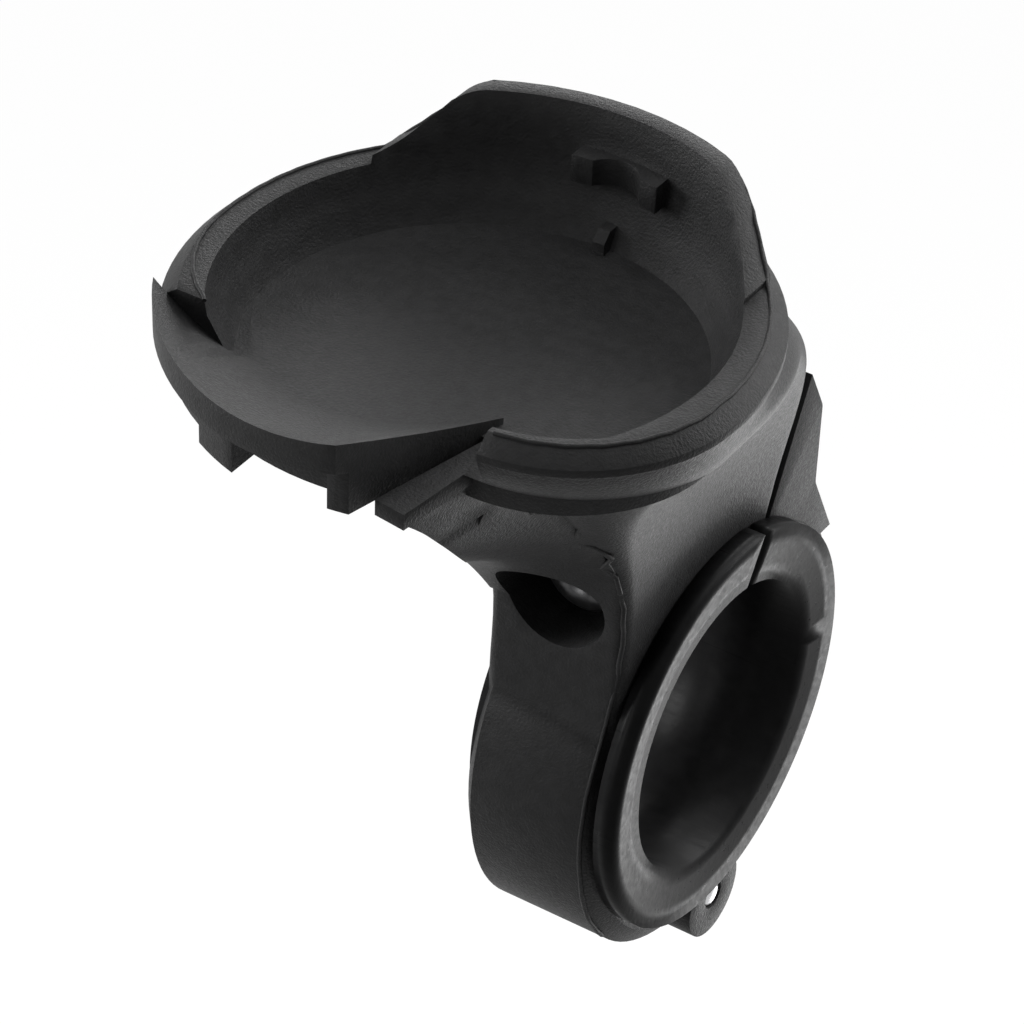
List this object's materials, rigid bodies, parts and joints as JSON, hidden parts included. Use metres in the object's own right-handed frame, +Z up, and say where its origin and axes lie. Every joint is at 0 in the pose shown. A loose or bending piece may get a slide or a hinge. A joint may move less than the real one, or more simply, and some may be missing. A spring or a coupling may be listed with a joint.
{
  "type": "bike computer mount",
  "caption": "Clamp-on handlebar mount with a round walled tray for a bicycle computer, a flared neck and a hinged, rubber-sleeved clamp.",
  "frame": {"origin": "centre of the handlebar bore", "axes": "+X along the handlebar, -Y towards the screw head and the release tongue, +Z up, square to the tray floor"},
  "size_m": [0.044, 0.0707, 0.0845],
  "materials": {
    "black_plastic": "fine moulded grain",
    "rubber": "smooth soft rubber",
    "steel": "plain bright steel",
    "dark_steel": "black oxide"
  },
  "bodies": {
    "cradle": {"cradle_body": "black_plastic", "bar_sleeve": "rubber", "hinge_pin": "steel"},
    "jaw": {"clamp_jaw": "black_plastic", "clamp_nut": "steel"},
    "screw": {"clamp_screw": "dark_steel"}
  },
  "joints": [
    {"name": "jaw_hinge", "type": "hinge", "parent": "cradle", "child": "jaw", "pos_m": [0, 0.0034, -0.0218], "axis": [-1, 0, 0], "range_deg": [0, 60]},
    {"name": "screw_slide", "type": "slide", "parent": "cradle", "child": "screw", "axis": [0, -1, 0], "range_m": [0, 0.03]}
  ],
  "couplings": [
    {"joint": "screw_slide", "follows": "jaw_hinge", "m_per_rad": 0.028}
  ]
}
